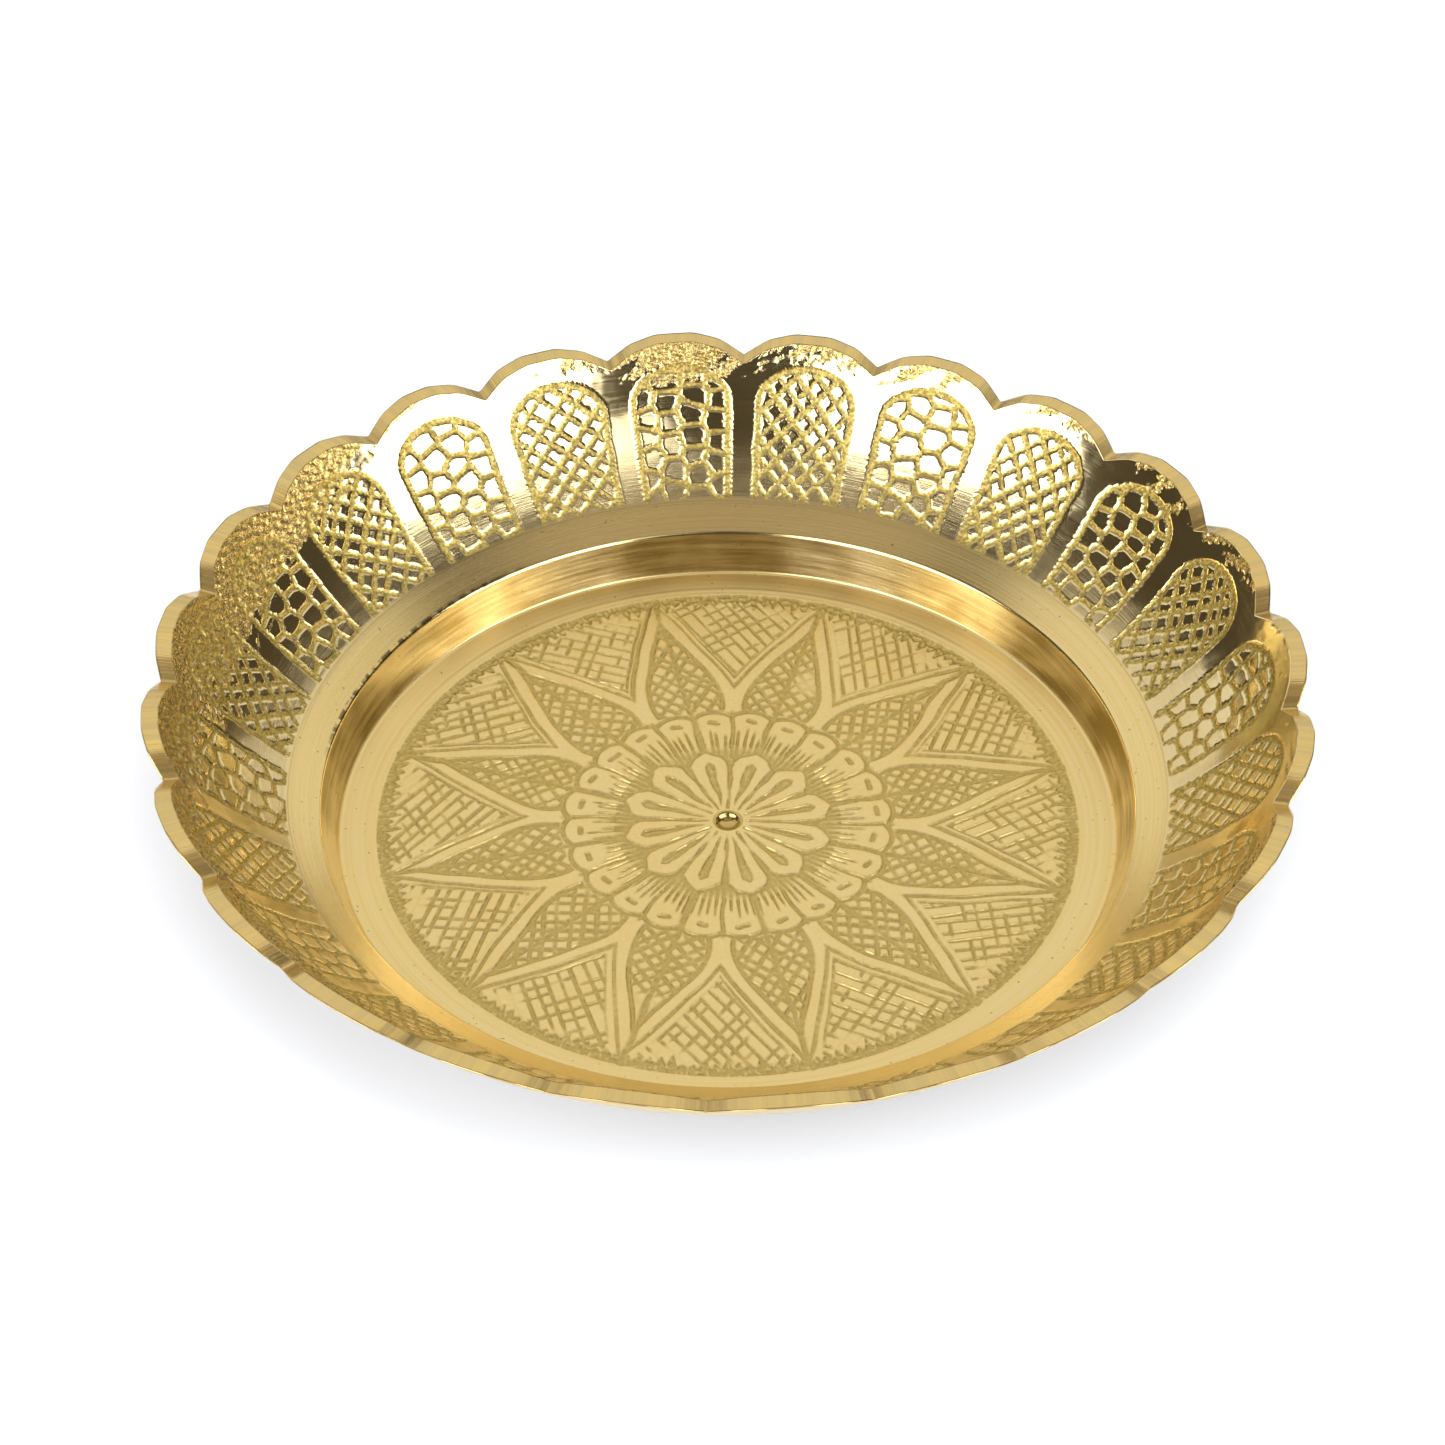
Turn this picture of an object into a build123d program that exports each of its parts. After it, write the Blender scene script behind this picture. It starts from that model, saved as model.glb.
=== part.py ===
"""Round brass tray: one thick casting, turned on a lathe, scalloped and engraved.

Millimetres, +Z up. The origin is the middle of the base, on the surface the tray stands on.
The tray is a single piece of metal, so this file makes a single solid.
"""

import os
from math import cos, radians, sin, tan

from build123d import *

os.makedirs("parts", exist_ok=True)

# ---------------------------------------------------------------------------
# Driving dimensions
# ---------------------------------------------------------------------------

# Overall
TRAY_DIAMETER = 150.0
TRAY_HEIGHT = 27.0
RIM_FACE_WIDTH = 2.3           # flat cut edge on top of the wall
FLOOR_THICKNESS = 2.4

# Turned inside, from the floor outwards
FLOOR_RADIUS = 51.2            # where the flat floor meets the step
STEP_HEIGHT = 5.5
STEP_LEAN = 2.1                # how far the step leans outwards
LEDGE_WIDTH = 4.5
LEDGE_RISE = 2.8
WALL_BULGE = 1.0               # how far the curved wall bows away from a straight cone

# Underside
WALL_THICKNESS = 1.1
FOOT_RADIUS = 50.6
FOOT_RING_WIDTH = 5.6
FOOT_RECESS = 0.6              # hollow turned into the base inside the foot ring

# Softened corners
STEP_TOE_FILLET = 0.5
STEP_LIP_FILLET = 0.8
FOOT_FILLET = 0.5

# Scalloped rim
SCALLOP_COUNT = 24
SCALLOP_DEPTH = 2.4            # drop from the top of a lobe to the notch beside it
SCALLOP_SHOULDER_DROP = 0.8    # drop from the top of a lobe to the end of its shoulder
SCALLOP_TOP_SHARE = 0.27       # share of the lobe that is left flat
SCALLOP_SHOULDER_SHARE = 0.65  # share of the lobe where the shoulder ends
SCALLOP_TILT = 5.0             # degrees the notches rise towards the outside

# Lathe centre in the middle of the floor
CENTRE_HOLLOW_RADIUS = 1.7
CENTRE_HOLLOW_DEPTH = 0.9

# Engraving
ENGRAVING_DEPTH = 0.25
LINE_WIDTH = 0.55
ARCH_LINE_WIDTH = 0.8

# Engraved arches on the wall, one below each lobe
ARCH_HALF_ANGLE = 6.1          # degrees on either side of the middle of the lobe
ARCH_SIDE_SHARE = 0.56         # share of the wall height where the round top begins
ARCH_TOP_SHARE = 0.88          # share of the wall height where the round top ends

# Engraved figures on the floor, from the outside inwards
FIGURE_COUNT = 12
BORDER_OUTER_RADIUS = 46.3
BORDER_INNER_RADIUS = 45.1
LEAF_BASE_RADIUS = 22.4
LEAF_BELLY_RADIUS = 25.5
LEAF_SHOULDER_RADIUS = 34.8
LEAF_TIP_RADIUS = 41.0         # tip of the hatched inside of a leaf
LEAF_HALF_WIDTHS = (4.6, 4.95, 2.3)         # at the base, the belly and the shoulder
LEAF_OUTER_TIP_RADIUS = 45.4   # tip of the plain band around a leaf
LEAF_OUTER_HALF_WIDTHS = (7.3, 7.2, 4.45)
ROSETTE_LOBE_COUNT = 24
ROSETTE_RADIUS = 21.9
ROSETTE_LOBE_RADIUS = 3.6
FLOWER_RADIUS = 13.6
FLOWER_PETAL_RADIUS = 3.7
SLOT_INNER_RADIUS = 4.2
SLOT_OUTER_RADIUS = 11.6
SLOT_INNER_WIDTH = 0.35
SLOT_OUTER_WIDTH = 1.3
SPOKE_INNER_RADIUS = 15.6
SPOKE_OUTER_RADIUS = 20.9

# ---------------------------------------------------------------------------
# Sizes that follow from the driving dimensions
# ---------------------------------------------------------------------------

RIM_RADIUS = TRAY_DIAMETER / 2
RIM_INNER_RADIUS = RIM_RADIUS - RIM_FACE_WIDTH
LIP_RADIUS = FLOOR_RADIUS + STEP_LEAN
LIP_HEIGHT = FLOOR_THICKNESS + STEP_HEIGHT
WALL_START_RADIUS = LIP_RADIUS + LEDGE_WIDTH
WALL_START_HEIGHT = LIP_HEIGHT + LEDGE_RISE
WALL_RUN = RIM_INNER_RADIUS - WALL_START_RADIUS
WALL_RISE = TRAY_HEIGHT - WALL_START_HEIGHT
WALL_LENGTH = (WALL_RUN**2 + WALL_RISE**2) ** 0.5

# Unit direction up the wall, and the one square to it that points out of the hollow
WALL_ALONG = Vector(WALL_RUN / WALL_LENGTH, WALL_RISE / WALL_LENGTH)
WALL_OUTWARD = Vector(WALL_ALONG.Y, -WALL_ALONG.X)

SCALLOP_PITCH = 360 / SCALLOP_COUNT
SCALLOP_HALF_WIDTH = RIM_RADIUS * tan(radians(SCALLOP_PITCH / 2))
RIM_MIDDLE_RADIUS = RIM_RADIUS - RIM_FACE_WIDTH / 2
FIGURE_PITCH = 360 / FIGURE_COUNT

SECTOR_OVERLAP = 0.05          # degrees a leaf's cutter reaches into its neighbour's sector

# Radius of the ball that leaves a hollow of the wanted radius and depth
CENTRE_BALL_RADIUS = (
    CENTRE_HOLLOW_RADIUS**2 + CENTRE_HOLLOW_DEPTH**2
) / (2 * CENTRE_HOLLOW_DEPTH)

CUT_CLEARANCE = 1.0            # how far a cutter reaches past the metal it removes
SCALLOP_REACH = 3 * RIM_FACE_WIDTH
ARCH_REACH = WALL_LENGTH / 4   # covers the bulge of the wall
ARCH_OVERRUN = 2 * ARCH_LINE_WIDTH    # the sides of an arch run this far past the ledge


# ---------------------------------------------------------------------------
# Points on the section of the tray
# ---------------------------------------------------------------------------

def wall_point(share, outward=0.0):
    """Point on the inside of the wall: share 0 is at the ledge, share 1 at the rim."""
    bow = WALL_BULGE * 4 * share * (1 - share)
    along = WALL_ALONG * (WALL_LENGTH * share)
    across = WALL_OUTWARD * (bow + outward)
    return Vector(WALL_START_RADIUS, WALL_START_HEIGHT) + along + across


# ---------------------------------------------------------------------------
# The casting, turned inside and out
# ---------------------------------------------------------------------------

with BuildPart() as tray_body:
    with BuildSketch(Plane.XZ) as tray_section:
        with BuildLine():
            outer_start = wall_point(0, WALL_THICKNESS)
            inside = Polyline(
                (0, FOOT_RECESS),
                (0, FLOOR_THICKNESS),
                (FLOOR_RADIUS, FLOOR_THICKNESS),
                (LIP_RADIUS, LIP_HEIGHT),
                (WALL_START_RADIUS, WALL_START_HEIGHT),
            )
            wall = ThreePointArc(inside @ 1, wall_point(0.5), (RIM_INNER_RADIUS, TRAY_HEIGHT))
            rim_face = Line(wall @ 1, (RIM_RADIUS, TRAY_HEIGHT))
            outside = ThreePointArc(rim_face @ 1, wall_point(0.5, WALL_THICKNESS), outer_start)
            Polyline(
                outside @ 1,
                (FOOT_RADIUS, 0),
                (FOOT_RADIUS - FOOT_RING_WIDTH, 0),
                (FOOT_RADIUS - FOOT_RING_WIDTH, FOOT_RECESS),
                inside @ 0,
            )
        make_face()
        toe = tray_section.vertices().sort_by_distance((FLOOR_RADIUS, FLOOR_THICKNESS))[0]
        fillet(toe, STEP_TOE_FILLET)
        lip = tray_section.vertices().sort_by_distance((LIP_RADIUS, LIP_HEIGHT))[0]
        fillet(lip, STEP_LIP_FILLET)
        foot = tray_section.vertices().sort_by_distance((FOOT_RADIUS, 0))[0]
        fillet(foot, FOOT_FILLET)
    revolve(axis=Axis.Z)


# ---------------------------------------------------------------------------
# Notches that leave the rim in round lobes
# ---------------------------------------------------------------------------

NOTCH_PLANE = Plane(
    origin=(RIM_MIDDLE_RADIUS, 0, TRAY_HEIGHT),
    x_dir=(0, 1, 0),
    z_dir=(cos(radians(SCALLOP_TILT)), 0, sin(radians(SCALLOP_TILT))),
)

with BuildPart() as notch_cutter:
    with BuildSketch(NOTCH_PLANE):
        top_reach = SCALLOP_HALF_WIDTH * (1 - SCALLOP_TOP_SHARE)
        shoulder_reach = SCALLOP_HALF_WIDTH * (1 - SCALLOP_SHOULDER_SHARE)
        with BuildLine():
            Polyline(
                (-top_reach, CUT_CLEARANCE),
                (-top_reach, 0),
                (-shoulder_reach, -SCALLOP_SHOULDER_DROP),
                (0, -SCALLOP_DEPTH),
                (shoulder_reach, -SCALLOP_SHOULDER_DROP),
                (top_reach, 0),
                (top_reach, CUT_CLEARANCE),
                close=True,
            )
        make_face()
    extrude(amount=SCALLOP_REACH, both=True)

with tray_body:
    with PolarLocations(0, SCALLOP_COUNT):
        add(notch_cutter.part, mode=Mode.SUBTRACT)


# ---------------------------------------------------------------------------
# Arches engraved into the wall, one below each lobe
# ---------------------------------------------------------------------------

# Lies along the wall below the middle of a lobe and looks into the hollow
ARCH_PLANE = Plane(
    origin=(wall_point(0.5).X, 0, wall_point(0.5).Y),
    x_dir=(0, -1, 0),
    z_dir=(-WALL_OUTWARD.X, 0, -WALL_OUTWARD.Y),
)


def arch_half_width(share):
    """Half the width of an arch at this share of the wall: its sides are radial."""
    return wall_point(share).X * tan(radians(ARCH_HALF_ANGLE))


with BuildPart() as wall_skin:
    with BuildSketch(Plane.XZ):
        with BuildLine():
            skin_top = ThreePointArc(
                wall_point(0, -CUT_CLEARANCE),
                wall_point(0.5, -CUT_CLEARANCE),
                wall_point(1, -CUT_CLEARANCE),
            )
            skin_end = Line(skin_top @ 1, wall_point(1, ENGRAVING_DEPTH))
            skin_bottom = ThreePointArc(
                skin_end @ 1,
                wall_point(0.5, ENGRAVING_DEPTH),
                wall_point(0, ENGRAVING_DEPTH),
            )
            Line(skin_bottom @ 1, skin_top @ 0)
        make_face()
    revolve(axis=Axis.Z)

with BuildPart() as arch_cutter:
    with BuildSketch(ARCH_PLANE):
        foot_y = -WALL_LENGTH / 2 - ARCH_OVERRUN
        spring_y = WALL_LENGTH * (ARCH_SIDE_SHARE - 0.5)
        crown_y = WALL_LENGTH * (ARCH_TOP_SHARE - 0.5)
        spring_x = arch_half_width(ARCH_SIDE_SHARE)
        foot_x = arch_half_width(0)
        with BuildLine():
            Polyline((-spring_x, spring_y), (-foot_x, foot_y), (foot_x, foot_y), (spring_x, spring_y))
            ThreePointArc((spring_x, spring_y), (0, crown_y), (-spring_x, spring_y))
        make_face()
        offset(amount=-ARCH_LINE_WIDTH, mode=Mode.SUBTRACT)
    extrude(amount=ARCH_REACH, both=True)
    add(wall_skin.part, mode=Mode.INTERSECT)

with tray_body:
    with PolarLocations(0, SCALLOP_COUNT, start_angle=SCALLOP_PITCH / 2):
        add(arch_cutter.part, mode=Mode.SUBTRACT)


# ---------------------------------------------------------------------------
# Figures engraved into the floor
# ---------------------------------------------------------------------------

FLOOR_PLANE = Plane.XY.offset(FLOOR_THICKNESS)
SECTOR_REACH = BORDER_OUTER_RADIUS + CUT_CLEARANCE
SECTOR_HALF_WIDTH = SECTOR_REACH * tan(radians(FIGURE_PITCH / 2 + SECTOR_OVERLAP))
LOBE_CENTRE_RADIUS = ROSETTE_RADIUS - ROSETTE_LOBE_RADIUS
PETAL_CENTRE_RADIUS = FLOWER_RADIUS - FLOWER_PETAL_RADIUS


def leaf_shape(half_widths, tip_radius):
    """Pointed leaf along +X, from its half widths at the base, the belly and the shoulder."""
    base, belly, shoulder = half_widths
    with BuildSketch() as shape:
        with BuildLine():
            belly_curve = ThreePointArc(
                (LEAF_BASE_RADIUS, base),
                (LEAF_BELLY_RADIUS, belly),
                (LEAF_SHOULDER_RADIUS, shoulder),
            )
            tip_line = Line(belly_curve @ 1, (tip_radius, 0))
            mirror(belly_curve, about=Plane.XZ)
            mirror(tip_line, about=Plane.XZ)
            Line((LEAF_BASE_RADIUS, base), (LEAF_BASE_RADIUS, -base))
        make_face()
    return shape.sketch


def floor_cutter(sketch):
    """Solid that engraves this sketch into the floor."""
    with BuildPart() as cutter:
        with BuildSketch(FLOOR_PLANE):
            add(sketch)
        extrude(amount=-ENGRAVING_DEPTH)
    return cutter.part


# One twelfth of the floor outside the rosette
with BuildSketch() as sector:
    Polygon(
        (0, 0),
        (SECTOR_REACH, -SECTOR_HALF_WIDTH),
        (SECTOR_REACH, SECTOR_HALF_WIDTH),
        align=None,
    )
    Circle(LEAF_BASE_RADIUS, mode=Mode.SUBTRACT)

# Outer outline of a leaf: it ends in the notch it shares with the leaf beside it
with BuildSketch() as outer_outline:
    add(leaf_shape(LEAF_OUTER_HALF_WIDTHS, LEAF_OUTER_TIP_RADIUS))
    offset(amount=LINE_WIDTH)
    add(leaf_shape(LEAF_OUTER_HALF_WIDTHS, LEAF_OUTER_TIP_RADIUS), mode=Mode.SUBTRACT)
    add(sector.sketch, mode=Mode.INTERSECT)

with BuildSketch() as inner_outline:
    add(leaf_shape(LEAF_HALF_WIDTHS, LEAF_TIP_RADIUS))
    offset(amount=-LINE_WIDTH, mode=Mode.SUBTRACT)

with BuildSketch() as border_line:
    Circle(BORDER_OUTER_RADIUS)
    Circle(BORDER_INNER_RADIUS, mode=Mode.SUBTRACT)

with BuildSketch() as rosette_outline:
    Circle(LOBE_CENTRE_RADIUS)
    with PolarLocations(LOBE_CENTRE_RADIUS, ROSETTE_LOBE_COUNT, start_angle=180 / ROSETTE_LOBE_COUNT):
        Circle(ROSETTE_LOBE_RADIUS)
    offset(amount=-LINE_WIDTH, mode=Mode.SUBTRACT)

with BuildSketch() as spokes:
    with PolarLocations((SPOKE_INNER_RADIUS + SPOKE_OUTER_RADIUS) / 2, FIGURE_COUNT):
        Rectangle(SPOKE_OUTER_RADIUS - SPOKE_INNER_RADIUS, LINE_WIDTH)

with BuildSketch() as flower:
    Circle(PETAL_CENTRE_RADIUS)
    with PolarLocations(PETAL_CENTRE_RADIUS, FIGURE_COUNT, start_angle=FIGURE_PITCH / 2):
        Circle(FLOWER_PETAL_RADIUS)

with BuildSketch() as flower_outline:
    add(flower.sketch)
    offset(amount=LINE_WIDTH)
    add(flower.sketch, mode=Mode.SUBTRACT)

with BuildSketch() as petal_slot:
    with Locations((SLOT_INNER_RADIUS, 0)):
        Circle(SLOT_INNER_WIDTH / 2)
    with Locations((SLOT_OUTER_RADIUS, 0)):
        Circle(SLOT_OUTER_WIDTH / 2)
    make_hull()

with tray_body:
    for figure in (border_line, rosette_outline, spokes, flower_outline):
        add(floor_cutter(figure.sketch), mode=Mode.SUBTRACT)
    with PolarLocations(0, FIGURE_COUNT, start_angle=FIGURE_PITCH / 2):
        for figure in (outer_outline, inner_outline, petal_slot):
            add(floor_cutter(figure.sketch), mode=Mode.SUBTRACT)


# ---------------------------------------------------------------------------
# Small hollow left by the lathe centre
# ---------------------------------------------------------------------------

with tray_body:
    with Locations((0, 0, FLOOR_THICKNESS - CENTRE_HOLLOW_DEPTH + CENTRE_BALL_RADIUS)):
        Sphere(CENTRE_BALL_RADIUS, mode=Mode.SUBTRACT)

tray_body.part.label = "tray_body"
export_step(tray_body.part, "parts/tray_body.step")
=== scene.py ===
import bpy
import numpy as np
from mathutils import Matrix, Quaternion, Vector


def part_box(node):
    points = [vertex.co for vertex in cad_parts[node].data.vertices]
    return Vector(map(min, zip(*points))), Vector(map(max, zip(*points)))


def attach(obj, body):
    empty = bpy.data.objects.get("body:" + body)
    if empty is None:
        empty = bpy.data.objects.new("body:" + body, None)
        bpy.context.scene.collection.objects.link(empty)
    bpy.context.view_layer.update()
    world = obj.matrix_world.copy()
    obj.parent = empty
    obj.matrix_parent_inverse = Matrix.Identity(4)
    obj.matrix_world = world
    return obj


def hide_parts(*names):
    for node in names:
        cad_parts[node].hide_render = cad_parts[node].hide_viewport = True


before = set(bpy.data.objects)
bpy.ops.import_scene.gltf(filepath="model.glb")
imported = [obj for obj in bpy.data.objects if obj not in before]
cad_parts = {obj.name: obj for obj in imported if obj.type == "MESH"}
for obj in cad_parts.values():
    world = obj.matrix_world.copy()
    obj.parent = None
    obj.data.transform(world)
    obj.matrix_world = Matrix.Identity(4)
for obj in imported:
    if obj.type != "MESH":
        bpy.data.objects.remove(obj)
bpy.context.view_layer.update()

# Looks of the round engraved brass tray: one dense mesh with hand-cut ornament and brass finishes.
#
# The drawing below is in millimetres for a tray 150 mm across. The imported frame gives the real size,
# and MM turns drawing millimetres into metres. Angles are in radians unless a name says otherwise.
# A pair of numbers is a smallest and a largest value unless said otherwise. Every use of chance has
# its own seed.

# ----- Hand-cut lines: small tools shared by all the ornament -----

RANDOM_VALUES = 1009  # length of the tables of fixed random numbers
NEIGHBOURS = (-1, 0, 1)  # a point is compared with its own line or cell and the ones beside it

WAVE_COUNT = 6  # waves that make up a wobble
WAVE_LENGTHS = (0.6, 1.7)  # their lengths, as shares of the size asked for
WAVE_SUM = 2.45  # their sum divided by this lies mostly between -1 and 1

GROOVE_BOTTOM = 0.3  # a groove has its full depth within this share of its half width

# Unevenness of hatching: place as a share of the pitch, slope, width and depth
HATCH_SHIFT = 0.15
HATCH_SLOPE = 0.03
HATCH_WIDTHS = (0.75, 1.25)
HATCH_DEPTHS = (0.8, 1.0)
HATCH_GROUP_STEP = 37  # keeps the random numbers of one group of lines apart from the next

# Unevenness of cells: place as a share of the pitch, and steps that keep their random numbers apart
CELL_SHIFT_ACROSS = 0.2
CELL_SHIFT_ALONG = 0.22
CELL_COLUMN_STEP = 7
CELL_ROW_STEP = 53
CELL_GROUP_STEP = 331


def smoothstep(edge_0, edge_1, value):
    """0 at edge_0, 1 at edge_1, with a soft start and end."""
    share = np.clip((value - edge_0) / (edge_1 - edge_0), 0, 1)
    return share * share * (3 - 2 * share)


def between(low, high, blur, value):
    """1 between low and high, fading over blur outside them."""
    return smoothstep(low - blur, low, value) * smoothstep(high + blur, high, value)


def fixed_random(index, low, high, seed):
    """A random number for each whole number in index, the same on every run."""
    values = np.random.default_rng(seed).uniform(low, high, RANDOM_VALUES)
    return values[np.mod(index, RANDOM_VALUES).astype(int)]


def jitter(index, most, seed):
    """A random number between -most and most for each whole number in index."""
    return fixed_random(index, -most, most, seed)


def wobble(x, y, size, seed):
    """Smooth random waves about size millimetres long, mostly between -1 and 1.

    Pieces that share a seed get waves of their own when a multiple of their number is added to y.
    """
    random = np.random.default_rng(seed)
    total = np.zeros_like(x)
    for _ in range(WAVE_COUNT):
        heading = random.uniform(0, 2 * np.pi)
        wave = 2 * np.pi / (size * random.uniform(*WAVE_LENGTHS))
        phase = random.uniform(0, 2 * np.pi)
        total += np.sin(wave * (x * np.cos(heading) + y * np.sin(heading)) + phase)
    return total / WAVE_SUM


def groove(distance, width):
    """Depth of a cut line, from 0 outside it to 1 at its bottom."""
    return smoothstep(1.0, GROOVE_BOTTOM, np.abs(distance) / (width / 2))


def hatch(x, y, slant, pitch, width, group, seed):
    """Parallel lines cut by hand at a slant to x: each has its own place, slope, width and depth."""
    across = x * np.sin(slant) - y * np.cos(slant)
    along = x * np.cos(slant) + y * np.sin(slant)
    depth = np.zeros_like(across)
    nearest = np.round(across / pitch)
    for step in NEIGHBOURS:
        line = nearest + step
        number = line + HATCH_GROUP_STEP * group
        middle = (line + jitter(number, HATCH_SHIFT, seed)) * pitch
        middle = middle + jitter(number, HATCH_SLOPE, seed + 1) * along
        line_width = width * fixed_random(number, *HATCH_WIDTHS, seed + 2)
        line_depth = fixed_random(number, *HATCH_DEPTHS, seed + 3)
        depth = np.maximum(depth, line_depth * groove(across - middle, line_width))
    return depth


def crossed_hatching(x, y, slants, sizes, group, seeds):
    """Two sets of hatching that lean opposite ways; slants, sizes and seeds have one entry for each."""
    return [hatch(x, side * y, slant, pitch, width, group, seed)
            for side, slant, (pitch, width), seed in zip((1, -1), slants, sizes, seeds)]


def cell_borders(across, along, pitch_across, pitch_along, width, group, seed):
    """Lines between rounded cells set in staggered columns, like fish scales."""
    first = np.full_like(across, 1e9)
    second = np.full_like(across, 1e9)
    own_column = np.floor(across / pitch_across)
    for column_step in NEIGHBOURS:
        column = own_column + column_step
        stagger = 0.5 * np.mod(column, 2)
        own_row = np.floor(along / pitch_along - stagger)
        for row_step in NEIGHBOURS:
            row = own_row + row_step
            number = CELL_COLUMN_STEP * column + CELL_ROW_STEP * row + CELL_GROUP_STEP * group
            middle_across = column + 0.5 + jitter(number, CELL_SHIFT_ACROSS, seed)
            middle_along = row + 0.5 + stagger + jitter(number, CELL_SHIFT_ALONG, seed + 1)
            away = np.hypot(across - middle_across * pitch_across, along - middle_along * pitch_along)
            second = np.minimum(second, np.maximum(first, away))
            first = np.minimum(first, away)
    return groove(second - first, 2 * width)


# ----- Ornament on the floor -----

FIGURE_COUNT = 12  # leaves, petals and spokes
HUB_RADIUS = 2.3  # no cut comes nearer to the middle

# Rough band around the engraving, with teeth that point inwards
BORDER_OUTER = 46.3
BORDER_INNER = 45.1
BORDER_BLUR = 0.12
TOOTH_PITCH = 1.45
TOOTH_REACH = (0.4, 2.3)
TOOTH_POINT = 1.1  # 1 is a straight-sided tooth; more is a sharper one

# Ring of lobes with a dash in each
ROSETTE_RADIUS = 21.9
LOBE_RADIUS = 3.6
LOBE_CENTRE = ROSETTE_RADIUS - LOBE_RADIUS
LOBE_COUNT = 2 * FIGURE_COUNT
LOBE_SHIFT = 0.25
LOBE_LINE = 0.88
DASH_RADIUS = (19.4, 20.0)
DASH_HALF_LENGTH = (0.4, 0.8)
DASH_TILT = 0.3
DASH_LINE = 0.95

# Spokes between the petals, and the fine feathering between the flower and the lobes
SPOKE_ENDS = (15.0, 21.2)
SPOKE_LINE = 0.75
FEATHER_COUNT = 9 * FIGURE_COUNT
FEATHER_PITCH = 2 * np.pi / FEATHER_COUNT
FEATHER_START = 12.0
FEATHER_END = (16.6, 18.8)
FEATHER_LIMIT = 19.0
FEATHER_LINE = 0.66
FEATHER_TAPER = 0.30  # how much narrower a stroke is at its outer end
FEATHER_SHIFT = 0.22  # as a share of the pitch

# Places along a petal of the inner flower, and its half width there; then the same for its slot
PETAL_OUTLINE = ([2.3, 4.0, 8.0, 11.4, 12.5, 13.7, 14.0], [0.42, 0.85, 1.80, 2.45, 1.85, 0.3, -0.6])
SLOT_OUTLINE = ([2.6, 3.2, 6.0, 9.6, 11.0, 11.7, 12.2], [-0.3, 0.05, 0.33, 0.66, 0.66, 0.1, -0.6])
PETAL_LENGTH_CHANGE = 0.35

# Half width of a leaf along its axis, inside and outside its plain band
LEAF_INSIDE = np.polyfit([22.4, 25.5, 29.7, 34.8, 40.0, 41.3], [4.6, 4.95, 4.17, 2.3, 0.4, -0.1], 4)
LEAF_OUTSIDE = np.polyfit([22.4, 26.1, 29.4, 34.7, 39.9, 45.6], [7.7, 7.1, 6.15, 4.45, 2.45, 0.0], 4)
LEAF_MIDDLE = 30.0
LEAF_TIP = 42.2  # the inner outline has run out here
LEAF_LEAN = 0.0125  # sideways slope of a leaf against its own axis
LEAF_LENGTH_CHANGE = 0.6
LEAF_INNER_LINE = 0.92
LEAF_OUTER_LINE = 0.70
LEAF_SLANTS = (0.62, 0.92)
LEAF_HATCHING = ((1.60, 0.78), (1.68, 0.74))  # pitch and line width of both sets of lines
LEAF_WEAR = 0.8  # how much of the hatching is gone where it is worn most
LEAF_WEAR_START = 36.0  # wear grows from about here to the tip
LEAF_WEAR_LENGTH = 7.0

# Hatched ground between the leaves
GROUND_MIDDLE = 36.0
GROUND_GAP = 0.95  # plain metal between a leaf and the ground
GROUND_LINE = 0.46  # width of the line that runs along the gap beside some leaves
GROUND_LINE_OFFSET = (0.75, 1.1)
GROUND_SLANTS = (0.45, 0.95)
GROUND_CROSS_SLANTS = (0.55, 1.05)
GROUND_HATCHING = ((1.70, 0.62), (1.80, 0.56))
GROUND_WEAR = 0.85
GROUND_WEAR_START = 42.0
GROUND_WEAR_LENGTH = 6.0


def turned_frame(radius, angle, count, shift):
    """Number, lengthwise and sideways place of each point in one of count equal sectors."""
    pitch = 2 * np.pi / count
    number = np.floor(angle / pitch - shift + 0.5)
    turn = angle - (number + shift) * pitch
    return np.mod(number, count), radius * np.cos(turn), radius * np.sin(turn)


def leaf_frame(radius, angle):
    """Number, lengthwise and sideways place of each point in its leaf, which is a little bent."""
    leaf, x, y = turned_frame(radius, angle, FIGURE_COUNT, shift=0.5)
    y = y + jitter(leaf, LEAF_LEAN, seed=11) * (x - LOBE_CENTRE)
    y = y + 0.10 * wobble(x, y + 50 * leaf, size=9, seed=12)
    return leaf, x, y


def distance_inside(profile, x, y):
    """Distance to a leaf's edge, positive inside it."""
    slope = np.polyval(np.polyder(profile), x)
    return (np.polyval(profile, x) - np.abs(y)) / np.hypot(1, slope)


def leaf_outlines(leaf, x, y, inside):
    """Inner and outer outline of each leaf, with plain metal between them."""
    side = leaf + FIGURE_COUNT * (y > 0)
    inner_width = LEAF_INNER_LINE * fixed_random(side, 0.8, 1.15, seed=14)
    inner_line = groove(inside - 0.12, inner_width) * smoothstep(LEAF_TIP, LEAF_TIP - 1.7, x)
    outer_width = LEAF_OUTER_LINE * fixed_random(side, 0.8, 1.2, seed=15)
    outer_line = groove(distance_inside(LEAF_OUTSIDE, x, y), outer_width)
    return np.maximum(inner_line, outer_line * fixed_random(side, 0.7, 1.0, seed=16))


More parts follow.
